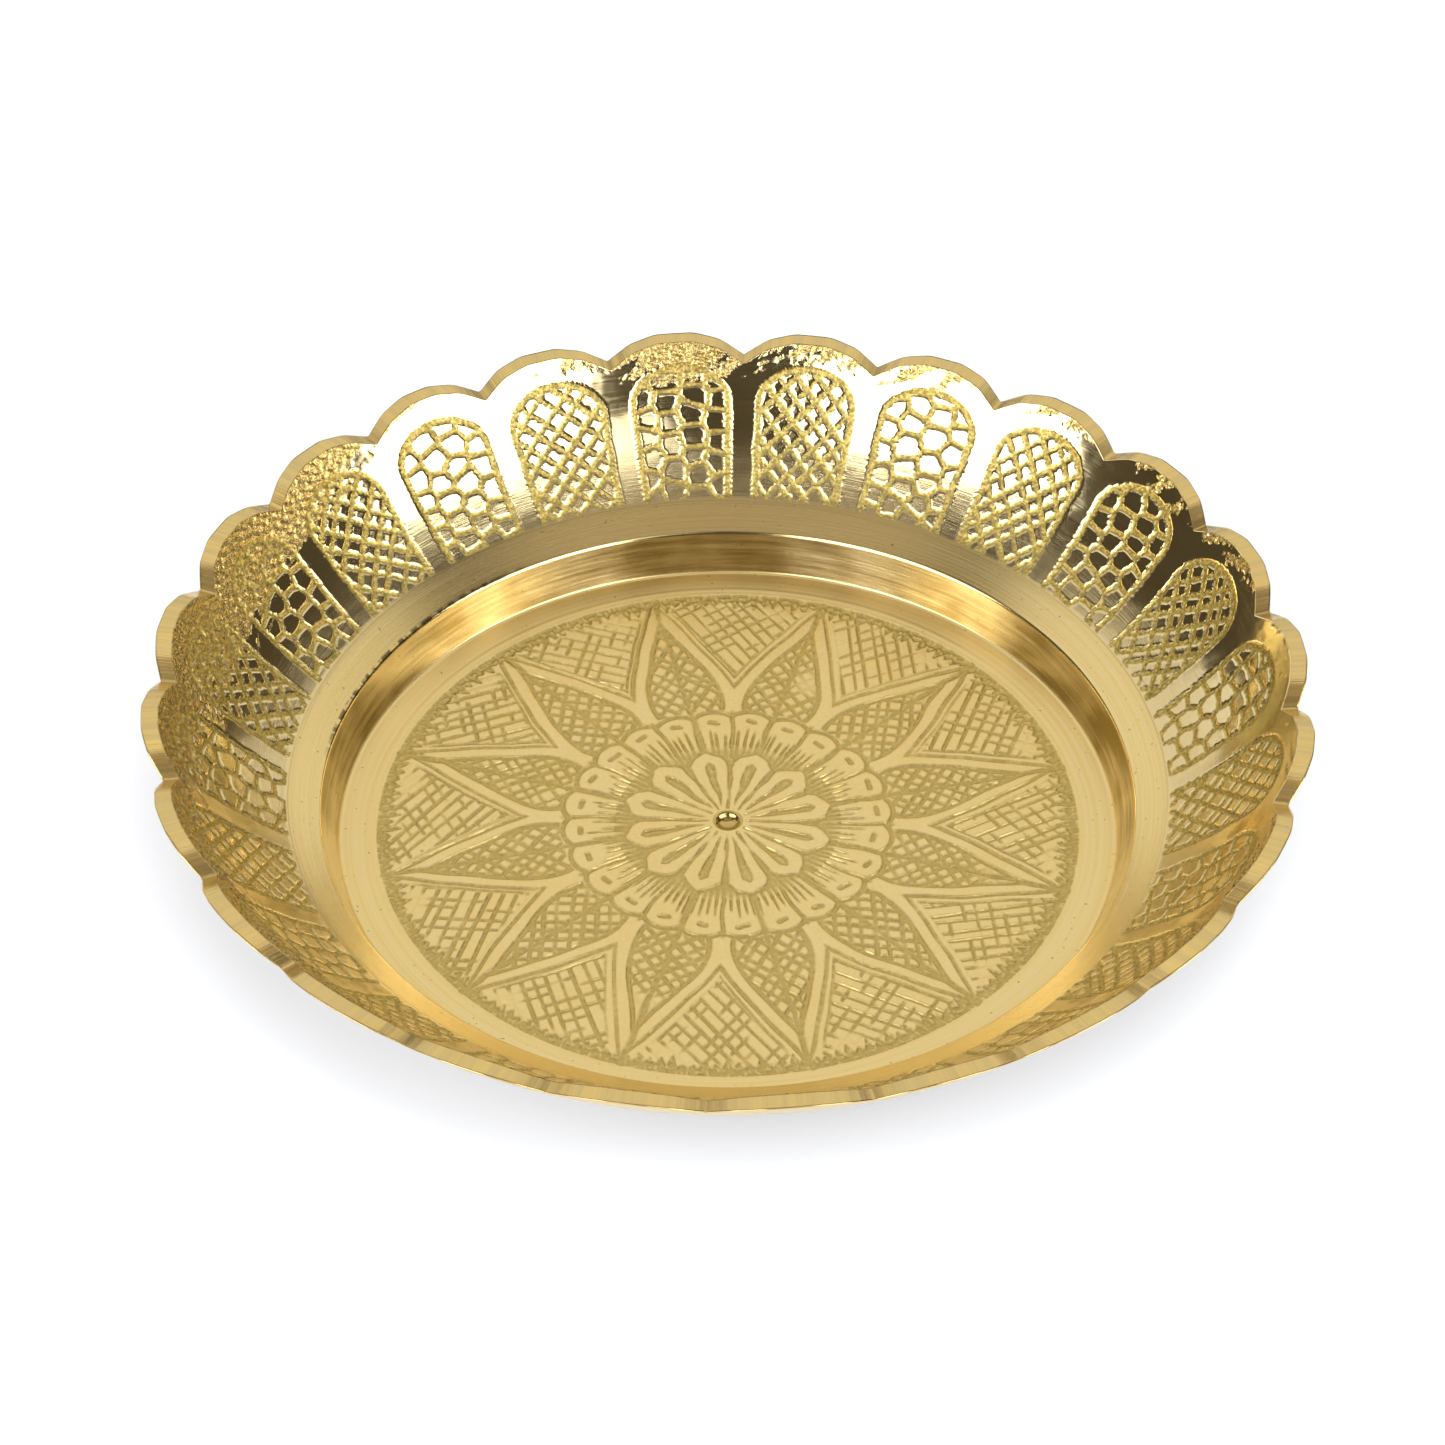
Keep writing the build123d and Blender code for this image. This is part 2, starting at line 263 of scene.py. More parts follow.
def leaves(radius, angle):
    """Pointed leaves with crossed hatching, worn in places and towards the tips."""
    leaf, x, y = leaf_frame(radius, angle)
    x = x + jitter(leaf, LEAF_LENGTH_CHANGE, seed=13) * smoothstep(24, 40, x)
    inside = distance_inside(LEAF_INSIDE, x, y)
    outlines = leaf_outlines(leaf, x, y, inside)

    slants = [fixed_random(leaf, *LEAF_SLANTS, seed) for seed in (17, 18)]
    lines, cross_lines = crossed_hatching(x - LEAF_MIDDLE, y, slants, LEAF_HATCHING, leaf, seeds=(20, 25))
    towards_tip = (x - LEAF_WEAR_START) / LEAF_WEAR_LENGTH
    worn = smoothstep(0.1, 1.0, wobble(x, y + 31 * leaf, size=14, seed=19) + towards_tip)
    lattice = np.maximum(lines, cross_lines) * smoothstep(0.0, 0.3, inside) * (1 - LEAF_WEAR * worn)
    return np.maximum(outlines, lattice) * smoothstep(ROSETTE_RADIUS, ROSETTE_RADIUS + 0.4, radius)


def ground(radius, angle):
    """Hatching between the leaves, with a second line beside some of them."""
    leaf, x, y = leaf_frame(radius, angle)
    outside = distance_inside(LEAF_OUTSIDE, x, y)
    side = leaf + FIGURE_COUNT * (y > 0)
    depth = fixed_random(side, 0.0, 1.3, seed=30).clip(0, 1)
    offset = fixed_random(side, *GROUND_LINE_OFFSET, seed=31)
    extra_line = groove(outside + offset, GROUND_LINE) * depth * smoothstep(44, 41, radius)

    gap, x, y = turned_frame(radius, angle, FIGURE_COUNT, shift=0.0)
    slants = fixed_random(gap, *GROUND_SLANTS, seed=32), fixed_random(gap, *GROUND_CROSS_SLANTS, seed=37)
    middle = x - GROUND_MIDDLE
    lines, cross_lines = crossed_hatching(middle, y, slants, GROUND_HATCHING, gap, seeds=(33, 38))
    cross_lines = cross_lines * smoothstep(-0.2, 0.5, wobble(x, y, size=5, seed=42) + 0.45)
    outwards = (radius - GROUND_WEAR_START) / GROUND_WEAR_LENGTH
    worn = smoothstep(0.0, 0.9, wobble(x, y, size=11, seed=43) + outwards)
    area = smoothstep(-GROUND_GAP, -GROUND_GAP - 0.25, outside)
    area = area * smoothstep(0.0, 0.25, BORDER_INNER - radius)
    lattice = np.maximum(lines, cross_lines) * area * (1 - GROUND_WEAR * worn)
    return np.maximum(extra_line, lattice)


def border(radius, angle):
    """Rough band around the engraving, with teeth that point inwards and small islands left in it."""
    place = angle * BORDER_OUTER
    tooth = np.floor(place / TOOTH_PITCH)
    share = place / TOOTH_PITCH - tooth
    reach = fixed_random(tooth, *TOOTH_REACH, seed=50) * (1 - np.abs(2 * share - 1)) ** TOOTH_POINT
    band = smoothstep(-BORDER_BLUR, BORDER_BLUR, radius - (BORDER_INNER - reach))
    band = band * smoothstep(BORDER_OUTER + BORDER_BLUR / 2, BORDER_OUTER - BORDER_BLUR / 2, radius)
    lumps = 0.5 + 0.5 * wobble(place, radius, size=0.8, seed=51)
    return band * (1 - 0.6 * smoothstep(0.5, 0.9, lumps))


def lobes(radius, angle):
    """Ring of round lobes, each with a short dash in it."""
    lobe, x, y = turned_frame(radius, angle, LOBE_COUNT, shift=0.5)
    x = x + jitter(lobe, LOBE_SHIFT, seed=60)
    outline = groove(np.hypot(x - LOBE_CENTRE, y) - LOBE_RADIUS, LOBE_LINE) * (x > LOBE_CENTRE)
    tilt = jitter(lobe, DASH_TILT, seed=61)
    dash_x = x - fixed_random(lobe, *DASH_RADIUS, seed=62)
    past_end = np.abs(y + tilt * dash_x) - fixed_random(lobe, *DASH_HALF_LENGTH, seed=63)
    dash = groove(np.hypot(np.maximum(past_end, 0), dash_x - tilt * y), DASH_LINE)
    return np.maximum(outline, dash)


def spokes(radius, angle):
    """A line between each two petals."""
    _, x, y = turned_frame(radius, angle, FIGURE_COUNT, shift=0.0)
    line = groove(y + 0.12 * wobble(x, y, size=6, seed=64), SPOKE_LINE)
    return line * between(*SPOKE_ENDS, 1.2, radius)


def feathers(radius, angle):
    """Fine strokes that fan out from the flower, over ground that is cut a little lower."""
    nearest = np.round(angle / FEATHER_PITCH)
    depth = np.zeros_like(radius)
    for step in NEIGHBOURS:
        stroke = np.mod(nearest + step, FEATHER_COUNT)
        middle = (nearest + step + jitter(stroke, FEATHER_SHIFT, seed=65)) * FEATHER_PITCH
        end = fixed_random(stroke, *FEATHER_END, seed=66)
        width = FEATHER_LINE - FEATHER_TAPER * smoothstep(13, 18, radius)
        line = groove(radius * (angle - middle), width) * smoothstep(end + 0.4, end - 0.8, radius)
        depth = np.maximum(depth, line)
    depth = depth * smoothstep(FEATHER_START, FEATHER_START + 0.6, radius)
    lowered = 0.55 * smoothstep(14.9, 13.5, radius)
    return np.maximum(depth, lowered) * (radius < FEATHER_LIMIT)


def flower(radius, angle):
    """Depth of the inner flower, and how far inside or outside of its petals each point lies."""
    petal, x, y = turned_frame(radius, angle, FIGURE_COUNT, shift=0.5)
    y = y + 0.12 * wobble(x, y + 40 * petal, size=3.5, seed=70)
    x = x + jitter(petal, PETAL_LENGTH_CHANGE, seed=71) * smoothstep(8, 13, x)
    inside = np.interp(x, *PETAL_OUTLINE) - np.abs(y)
    gap = smoothstep(0.06, -0.3, inside) * smoothstep(-1.25, -0.6, inside)

    from_edge = np.interp(x, *SLOT_OUTLINE) - np.abs(y)
    slot = smoothstep(-0.12, 0.18, from_edge) * (1 - 0.4 * smoothstep(0.25, 0.6, from_edge))
    return np.maximum(slot, gap), inside


def floor_cut(radius, angle):
    """Depth of all the engraving on the floor, from 0 to 1."""
    petals, inside_petals = flower(radius, angle)
    rosette = np.maximum.reduce([lobes(radius, angle), spokes(radius, angle), feathers(radius, angle)])
    depth = np.maximum.reduce([
        petals,
        rosette * smoothstep(0.0, -0.3, inside_petals),
        leaves(radius, angle),
        ground(radius, angle) * (radius > ROSETTE_RADIUS + 2),
        border(radius, angle),
    ])
    x = radius * np.cos(angle)
    y = radius * np.sin(angle)
    chatter = 0.88 + 0.12 * wobble(x, y, size=0.9, seed=100) + 0.10 * wobble(x, y, size=6.0, seed=101)
    area = (radius < BORDER_OUTER + 0.1) * smoothstep(HUB_RADIUS, HUB_RADIUS + 0.4, radius)
    return depth * chatter.clip(0, 1) * area


# ----- Ornament on the wall, and the rough casting left on it; height runs up the wall from the ledge -----

ARCH_COUNT = 24
ARCH_PITCH = 2 * np.pi / ARCH_COUNT
ARCH_HALF_ANGLE = np.radians(6.1)
ARCH_SPRING = 13.4  # where the round top begins
ARCH_SPRING_CHANGE = 0.3
ARCH_RISE = 5.7
ARCH_MIDDLE = 9.0
ARCH_LINE = 1.15
ARCH_LINE_INSET = 0.5  # from the arch's edge to the middle of its outline
ARCH_SLANTS = (0.72, 0.86)
ARCH_HATCHING = ((2.25, 0.95), (2.25, 0.95))
SCALE_COLUMNS = 4  # across an arch
SCALE_WIDTH = 3.4
SCALE_HEIGHT = 3.0
SCALE_LINE = 0.85

# Height at which the rough casting begins: on average, and how much higher on the best cleaned side
GRAIN_START = 17.5
GRAIN_SWING = 4.0
GRAIN_TURN = np.radians(10.0)  # the side that was cleaned best
# Places where less (+) or more (-) of it is left: turn and spread in degrees, change in height
GRAIN_PATCHES = ((126, 17, 7.0), (97, 7, -4.5), (60, 13, 4.5))


def arch_edge(radius, angle, height, arch, x):
    """Distance to the edge of the arch, negative inside it."""
    half_width = radius * ARCH_HALF_ANGLE
    spring = ARCH_SPRING + jitter(arch, ARCH_SPRING_CHANGE, seed=81)
    above = np.maximum(height - spring, 0)
    round_share = np.hypot(x / half_width, above / ARCH_RISE)
    steepness = np.hypot(x / half_width**2, above / ARCH_RISE**2) / np.maximum(round_share, 0.05)
    unevenness = 0.13 * wobble(radius * angle, height, size=0.7, seed=79)
    return (round_share - 1) / np.maximum(steepness, 0.02) + unevenness


def arch_filling(radius, angle, height, arch, x):
    """Scales in one arch and crossed lines in the next."""
    x = x + 0.09 * wobble(radius * angle, height, size=0.7, seed=78)
    slant = fixed_random(arch, *ARCH_SLANTS, seed=82)
    lattice = crossed_hatching(x, height - ARCH_MIDDLE, (slant, slant), ARCH_HATCHING, arch, seeds=(83, 87))
    column_pitch = 2 * radius * ARCH_HALF_ANGLE / SCALE_COLUMNS
    even_x = x * SCALE_WIDTH / column_pitch
    scales = cell_borders(even_x, height, SCALE_WIDTH, SCALE_HEIGHT, SCALE_LINE, group=arch, seed=90)
    return np.where(np.mod(arch, 2) == 0, scales, np.maximum(*lattice))


def arch_cut(radius, angle, height):
    """Depth of the arches below the lobes, from 0 to 1."""
    arch = np.mod(np.floor(angle / ARCH_PITCH), ARCH_COUNT)
    turn = np.mod(angle, ARCH_PITCH) - ARCH_PITCH / 2
    x = radius * turn + 0.07 * wobble(height, radius * turn + 40 * arch, size=4, seed=80)
    edge = arch_edge(radius, angle, height, arch, x)
    outline = groove(edge + ARCH_LINE_INSET, ARCH_LINE)
    filling = arch_filling(radius, angle, height, arch, x) * smoothstep(0.0, -0.3, edge)
    chatter = 0.86 + 0.14 * wobble(radius * angle, height, size=0.8, seed=77)
    return np.maximum(outline, filling) * chatter.clip(0, 1)


def grain(radius, angle, height):
    """How much of the rough casting is left, from 0 on polished metal to 1."""
    around = radius * angle
    start = GRAIN_START + GRAIN_SWING * np.cos(angle - GRAIN_TURN)
    start = start + 1.8 * wobble(34 * np.cos(angle), 34 * np.sin(angle), size=26, seed=95)
    start = start + 1.5 * wobble(around, height, size=3.5, seed=96)
    start = start + 1.1 * wobble(around, height, size=1.2, seed=97)
    for turn, spread, change in GRAIN_PATCHES:
        start = start + change * np.exp(-(((angle - np.radians(turn)) / np.radians(spread)) ** 2))
    return smoothstep(-0.5, 0.6, height - start)


def grain_lumps(radius, angle, height):
    """Small lumps of the casting, mostly between -1 and 1."""
    around = radius * angle
    broad = wobble(around, height, size=1.0, seed=98)
    fine = wobble(around, height, size=0.65, seed=99)
    return 0.6 * broad + 0.7 * fine


# ----- Sizes -----

TRAY_NODE = "tray_body"
DRAWN_RADIUS = 75.0

box_low, box_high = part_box(TRAY_NODE)
frame_radius = max(Vector(corner.co.xy).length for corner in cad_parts[TRAY_NODE].data.vertices)
MM = frame_radius / DRAWN_RADIUS

# The turned section, from the floor outwards
TRAY_HEIGHT = (box_high.z - box_low.z) / MM
FLOOR_HEIGHT = 2.4
FLOOR_RADIUS = 51.2
LIP_RADIUS = FLOOR_RADIUS + 2.1
LIP_HEIGHT = FLOOR_HEIGHT + 5.5
WALL_START_RADIUS = LIP_RADIUS + 4.5
WALL_START_HEIGHT = LIP_HEIGHT + 2.8
WALL_BULGE = 1.0
WALL_THICKNESS = 1.1
RIM_WIDTH = 2.3
RIM_INNER_RADIUS = DRAWN_RADIUS - RIM_WIDTH
RIM_MIDDLE_RADIUS = DRAWN_RADIUS - RIM_WIDTH / 2
RIM_EDGE = 0.14  # softened corner on both sides of the rim face
TOE_FILLET = 0.5
LIP_FILLET = 0.8

# The plain band between the ornament and the step, with one fine raised line
BAND_START = BORDER_OUTER + 0.75
BAND_LINE_ENDS = (47.2, 47.5)
BAND_LINE_HEIGHT = 0.05
BAND_LINE_BLUR = 0.12

# The foot
FOOT_RADIUS = 50.6
FOOT_INNER_RADIUS = 45.0
FOOT_RECESS = 0.6
FOOT_FILLET = 0.5
RECESS_SLOPE = 0.3  # how much narrower the recess is at its top
RECESS_FILLET = 0.15

# The filed scallops of the rim: one lobe above each arch
SCALLOP_COUNT = ARCH_COUNT
SCALLOP_PITCH = 2 * np.pi / SCALLOP_COUNT
SCALLOP_HALF_WIDTH = DRAWN_RADIUS * np.tan(SCALLOP_PITCH / 2)
SCALLOP_DEPTH = 2.4
SCALLOP_DEPTH_CHANGE = (-0.25, 0.15)
SCALLOP_TURN_CHANGE = 0.006
SCALLOP_SHOULDER_DROP = 0.8
SCALLOP_SHOULDER = 0.35 * SCALLOP_HALF_WIDTH
SCALLOP_TOP = 0.73 * SCALLOP_HALF_WIDTH
SCALLOP_TILT = np.radians(5.0)
SCALLOP_SOFTNESS = 0.6  # how far the corners of the scallops are rounded

# The hollow left by the lathe centre, with a soft lip around it
HOLLOW_RADIUS = 1.7
HOLLOW_DEPTH = 0.9
HOLLOW_LIP = 0.35
HOLLOW_LIP_DROP = 0.10

# Engraving and rough casting
CUT_DEPTH = 0.28
WALL_CUT_DEPTH = 0.18
GRAIN_HEIGHT = 0.11
PLAIN_WALL_END = 0.02  # share of the wall that fades to plain at its top and bottom

# How finely the mesh is divided: points around a ring, distances between rings, and numbers of rings
FULL_COUNT = 1728  # 72 for each lobe
HALF_COUNT = FULL_COUNT // 2
HOLLOW_COUNT = FULL_COUNT // 8
FLOOR_SPACING = 0.17
STEP_SPACING = 0.3
CONE_SPACING = 0.6
FOOT_SPACING = 0.8
UNDERSIDE_SPACING = 0.9
HOLLOW_ROWS = 14
HOLLOW_LIP_ROWS = 6
WALL_ROWS = 104
RIM_ROWS = 8
OUTSIDE_ROWS = 30

# The ring counts halve towards the middle, where the rings are shorter
RING_COUNTS = ((30.0, FULL_COUNT), (15.0, HALF_COUNT), (7.0, FULL_COUNT // 4), (0.0, HOLLOW_COUNT))


# ----- The turned section and the filed rim -----

# Section of the wall: unit directions up it and out of the hollow
WALL_START = np.array([WALL_START_RADIUS, WALL_START_HEIGHT])
WALL_END = np.array([RIM_INNER_RADIUS, TRAY_HEIGHT])
WALL_LENGTH = np.linalg.norm(WALL_END - WALL_START)
WALL_UP = (WALL_END - WALL_START) / WALL_LENGTH
WALL_OUT = np.array([WALL_UP[1], -WALL_UP[0]])
WALL_MIDDLE = (WALL_START + WALL_END) / 2 + WALL_BULGE * WALL_OUT
OUTSIDE_START = WALL_START + WALL_THICKNESS * WALL_OUT
OUTSIDE_MIDDLE = WALL_MIDDLE + WALL_THICKNESS * WALL_OUT
OUTSIDE_END = np.array([DRAWN_RADIUS, TRAY_HEIGHT])


def bow(start, middle, end, share):
    """Points on a curve from start at share 0, through middle at share 0.5, to end at share 1."""
    share = np.asarray(share)[..., None]
    sag = np.subtract(middle, np.add(start, end) / 2)
    return start * (1 - share) + end * share + 4 * share * (1 - share) * sag


def inner_wall(share):
    return bow(WALL_START, WALL_MIDDLE, WALL_END, share)


def outer_wall(share):
    return bow(OUTSIDE_START, OUTSIDE_MIDDLE, OUTSIDE_END, share)


def rounded(before, corner, after, radius, steps=8):
    """Points of the arc that rounds a corner, from the first side to the second."""
    corner = np.array(corner, float)
    back = np.subtract(before, corner) / np.linalg.norm(np.subtract(before, corner))
    forth = np.subtract(after, corner) / np.linalg.norm(np.subtract(after, corner))
    half_angle = np.arccos(np.clip(back @ forth, -1, 1)) / 2
    bisector = (back + forth) / np.linalg.norm(back + forth)
    centre = corner + bisector * radius / np.sin(half_angle)
    start = corner + back * radius / np.tan(half_angle) - centre
    end = corner + forth * radius / np.tan(half_angle) - centre
    share = np.linspace(0, 1, steps)[:, None]
    chord = start * (1 - share) + end * share
    return centre + chord * radius / np.linalg.norm(chord, axis=1)[:, None]


def resample(points, spacing):
    """The same line with points about this far apart."""
    points = np.array(points, float)
    travelled = np.concatenate([[0], np.cumsum(np.linalg.norm(np.diff(points, axis=0), axis=1))])
    steps = np.linspace(0, travelled[-1], max(2, int(travelled[-1] / spacing) + 1))
    return np.stack([np.interp(steps, travelled, points[:, axis]) for axis in (0, 1)], axis=1)


def notch_drop(across, depth):
    """Drop of the rim below its top, this far from the middle of a notch."""
    slope = SCALLOP_SHOULDER_DROP / (SCALLOP_TOP - SCALLOP_SHOULDER)
    shoulder = SCALLOP_SHOULDER_DROP - slope * (across - SCALLOP_SHOULDER)
    valley = depth - (depth - SCALLOP_SHOULDER_DROP) * across / SCALLOP_SHOULDER
    return np.maximum(np.where(across > SCALLOP_SHOULDER, shoulder, valley), 0)


def rim_height(radius, angle):
    """Height of the filed rim: level on the lobes, with a notch between each two."""
    notch = np.round(angle / SCALLOP_PITCH)
    turn = angle - notch * SCALLOP_PITCH + jitter(notch, SCALLOP_TURN_CHANGE, seed=5)
    across = np.abs(radius * np.sin(turn))
    depth = SCALLOP_DEPTH + fixed_random(notch, *SCALLOP_DEPTH_CHANGE, seed=6)
    shifts = np.linspace(-SCALLOP_SOFTNESS, SCALLOP_SOFTNESS, 5)
    drop = sum(notch_drop(across + shift, depth) for shift in shifts) / len(shifts)
    lean = (radius * np.cos(turn) - RIM_MIDDLE_RADIUS) * np.tan(SCALLOP_TILT)
    return TRAY_HEIGHT - drop / np.cos(SCALLOP_TILT) + lean * (drop / SCALLOP_DEPTH).clip(0, 1)


def rim_notch_shade(angle):
    """How much painted shade browns the rim, from 0 on the lobes to 1 in the darkest notches."""
    notch = np.round(angle / SCALLOP_PITCH)
    across = DRAWN_RADIUS * np.abs(np.sin(angle - notch * SCALLOP_PITCH))
    return smoothstep(SCALLOP_SHOULDER + 0.6, 0.3, across) * fixed_random(notch, 0.35, 1.0, seed=7)


def share_at_rim(curve, angle):
    """Share of a wall curve at which it meets the filed rim, for each angle."""
    shares = np.linspace(0.75, 1.03, 400)
    points = curve(shares)
    above = points[:, 1:] - rim_height(points[:, :1], angle[None, :])
    after = np.argmax(above > 0, axis=0)
    column = np.arange(len(angle))
    low = above[after - 1, column]
    high = above[after, column]
    return shares[after] - (shares[1] - shares[0]) * high / (high - low)


# ----- The mesh is built ring by ring: over the floor, wall and rim, and back under the foot -----

rings = []


def ring_angles(count):
    return np.arange(count) * 2 * np.pi / count


def ring_count(radius):
    """How many points a ring of this radius gets."""
    return next(count for limit, count in RING_COUNTS if radius >= limit)


def add_ring(finish, radius, height, count, cut=0.0, grain=0.0):
    """One ring of points; radius, height, cut and grain are single values or one per point."""
    angle = ring_angles(count)
    flat = np.ones(count)
    points = np.stack([radius * np.cos(angle), radius * np.sin(angle), height * flat], axis=1)
    rings.append({"finish": finish, "points": points, "cut": cut * flat, "grain": grain * flat})


def build_hollow():
    """Polished hollow in the middle of the floor, with a soft lip."""
    ball = (HOLLOW_RADIUS**2 + HOLLOW_DEPTH**2) / (2 * HOLLOW_DEPTH)
    ball_height = FLOOR_HEIGHT - HOLLOW_DEPTH + ball
    for radius in np.linspace(0.12, HOLLOW_RADIUS - 0.1, HOLLOW_ROWS):
        add_ring("polished", radius, ball_height - np.sqrt(ball**2 - radius**2), HOLLOW_COUNT)
    for share in np.linspace(0, 1, HOLLOW_LIP_ROWS):
        radius = HOLLOW_RADIUS - 0.02 + HOLLOW_LIP * share
        add_ring("polished", radius, FLOOR_HEIGHT - HOLLOW_LIP_DROP * (1 - share) ** 2, HOLLOW_COUNT)


def build_floor():
    """Engraved floor, out to the plain band around the ornament."""
    for radius in np.arange(HOLLOW_RADIUS + HOLLOW_LIP + 0.1, BAND_START - 0.15, FLOOR_SPACING):
        count = ring_count(radius)
        cut = floor_cut(np.full(count, radius), ring_angles(count))
        add_ring("floor", radius, FLOOR_HEIGHT - CUT_DEPTH * cut, count, cut=cut)


def build_step():
    """Plain band, step and ledge, all turned smooth."""
    start = (BAND_START, FLOOR_HEIGHT)
    toe = (FLOOR_RADIUS, FLOOR_HEIGHT)
    lip = (LIP_RADIUS, LIP_HEIGHT)
    toe_arc = rounded(start, toe, lip, TOE_FILLET)
    lip_arc = rounded(toe, lip, WALL_START, LIP_FILLET)
    band = resample([start, toe_arc[0]], STEP_SPACING)[:-1]
    ledge = resample([lip_arc[-1], WALL_START], STEP_SPACING)[1:-1]
    for radius, height in np.vstack([band, toe_arc, lip_arc, ledge]):
        line = BAND_LINE_HEIGHT * between(*BAND_LINE_ENDS, BAND_LINE_BLUR, radius)
        add_ring("turned", radius, height + line, FULL_COUNT)


def build_wall():
    """Inside of the wall with its arches, up to the filed rim."""
    angle = ring_angles(FULL_COUNT)
    top = share_at_rim(inner_wall, angle)
    for step in np.linspace(0, 1, WALL_ROWS):
        share = step * top
        points = inner_wall(share)
        radius = points[:, 0]
        height = share * WALL_LENGTH
        cut = arch_cut(radius, angle, height)
        rough = grain(radius, angle, height)
        raised = GRAIN_HEIGHT * rough * grain_lumps(radius, angle, height) - WALL_CUT_DEPTH * cut
        raised = raised * smoothstep(0.0, PLAIN_WALL_END, min(step, 1 - step))
        points = points - raised[:, None] * WALL_OUT
        add_ring("wall", points[:, 0], points[:, 1], FULL_COUNT, cut=cut, grain=rough)


def build_rim():
    """Filed face of the rim, with a softened corner on each side."""
    angle = ring_angles(FULL_COUNT)
    inner = inner_wall(share_at_rim(inner_wall, angle))[:, 0]
    outer = outer_wall(share_at_rim(outer_wall, angle))[:, 0]
    for share in np.linspace(0, 1, RIM_ROWS):
        radius = inner + RIM_EDGE + (outer - inner - 2 * RIM_EDGE) * share
        # the grain attribute of the rim carries its painted shade in the notches
        add_ring("filed", radius, rim_height(radius, angle), FULL_COUNT, grain=rim_notch_shade(angle))


def build_outside():
    """Outside of the wall, from the rim down to the foot."""
    top = share_at_rim(outer_wall, ring_angles(HALF_COUNT))
    for step in np.concatenate([[0.006], np.linspace(0.02, 1, OUTSIDE_ROWS)]):
        points = outer_wall((1 - step) * top)
        add_ring("outside", points[:, 0], points[:, 1], HALF_COUNT)


def build_foot():
    """Cone down to the foot ring, the ring itself and the hollow underside."""
    foot = (FOOT_RADIUS, 0.0)
    foot_inner = (FOOT_INNER_RADIUS, 0.0)
    recess = (FOOT_INNER_RADIUS - RECESS_SLOPE, FOOT_RECESS)
    foot_arc = rounded(OUTSIDE_START, foot, foot_inner, FOOT_FILLET)
    section = np.vstack([
        resample([OUTSIDE_START, foot_arc[0]], CONE_SPACING)[1:-1],
        foot_arc,
        resample([(FOOT_RADIUS - 1, 0.0), (FOOT_INNER_RADIUS + 0.3, 0.0)], FOOT_SPACING),
        rounded(foot, foot_inner, recess, RECESS_FILLET),
        rounded(foot_inner, recess, (0, FOOT_RECESS), RECESS_FILLET),
    ])
    for radius, height in section:
        add_ring("outside", radius, height, HALF_COUNT)
    for radius in np.arange(FOOT_INNER_RADIUS - 1, 0.5, -UNDERSIDE_SPACING):
        add_ring("outside", radius, FOOT_RECESS, ring_count(radius) // 2)


def bridge(first, second):
    """Faces between two rings that have the same count, or where one has twice the other's."""
    (start_a, count_a), (start_b, count_b) = first, second
    if count_a > count_b:
        return [faces[:, ::-1] for faces in bridge(second, first)]
    here = np.arange(count_a)
    there = (here + 1) % count_a
    if count_a == count_b:
        return [np.stack([start_a + here, start_b + here, start_b + there, start_a + there], axis=1)]
    fine = start_b + 2 * here
    next_fine = start_b + 2 * there
    triangles = ((start_a + here, fine, fine + 1),
                 (start_a + here, fine + 1, start_a + there),
                 (start_a + there, fine + 1, next_fine))
    return [np.stack(triangle, axis=1) for triangle in triangles]


def fan(start, count, centre, upwards):
    """Triangles between a ring and the point in its middle."""
    here = start + np.arange(count)
    there = start + (np.arange(count) + 1) % count
    middle = np.full(count, centre)
    return np.stack([middle, here, there] if upwards else [middle, there, here], axis=1)


def face_blocks():
    """Faces of the closed mesh, in blocks that each come with the name of their finish."""
    counts = [len(ring["points"]) for ring in rings]
    starts = np.concatenate([[0], np.cumsum(counts)])
    top_centre, foot_centre = starts[-1], starts[-1] + 1
    blocks = [(fan(0, counts[0], top_centre, upwards=True), rings[0]["finish"])]
    for number in range(len(rings) - 1):
        first = (starts[number], counts[number])
        second = (starts[number + 1], counts[number + 1])
        for faces in bridge(first, second):
            blocks.append((faces, rings[number + 1]["finish"]))
    blocks.append((fan(starts[-2], counts[-1], foot_centre, upwards=False), rings[-1]["finish"]))
    return blocks


def build_mesh(name, finishes):
    """Turns the rings into one closed mesh; finishes gives the order of its materials."""
    centres = [rings[0]["points"].mean(axis=0), rings[-1]["points"].mean(axis=0)]
    points = np.vstack([ring["points"] for ring in rings] + centres)
    blocks = face_blocks()
    corners = np.concatenate([faces.ravel() for faces, _ in blocks])
    sizes = np.concatenate([np.full(len(faces), faces.shape[1]) for faces, _ in blocks])
    finish_numbers = [np.full(len(faces), finishes.index(finish)) for faces, finish in blocks]
    face_starts = np.concatenate([[0], np.cumsum(sizes)[:-1]])

    mesh = bpy.data.meshes.new(name)
    mesh.vertices.add(len(points))
    mesh.vertices.foreach_set("co", (points * MM).astype(np.float32).ravel())
    mesh.loops.add(len(corners))
    mesh.loops.foreach_set("vertex_index", corners.astype(np.int32))
    mesh.polygons.add(len(sizes))
    mesh.polygons.foreach_set("loop_start", face_starts.astype(np.int32))
    mesh.polygons.foreach_set("material_index", np.concatenate(finish_numbers).astype(np.int32))
    mesh.polygons.foreach_set("use_smooth", np.ones(len(sizes), bool))
    for key in ("cut", "grain"):
        values = np.concatenate([ring[key] for ring in rings] + [np.zeros(len(centres))])
        attribute = mesh.attributes.new(key, "FLOAT", "POINT")
        attribute.data.foreach_set("value", values.astype(np.float32))
    mesh.update(calc_edges=True)
    mesh.validate()

    piece = bpy.data.objects.new(name, mesh)
    bpy.context.scene.collection.objects.link(piece)
    for finish in finishes:
        mesh.materials.append(FINISHES[finish]())
    return piece


# ----- Brass finishes -----

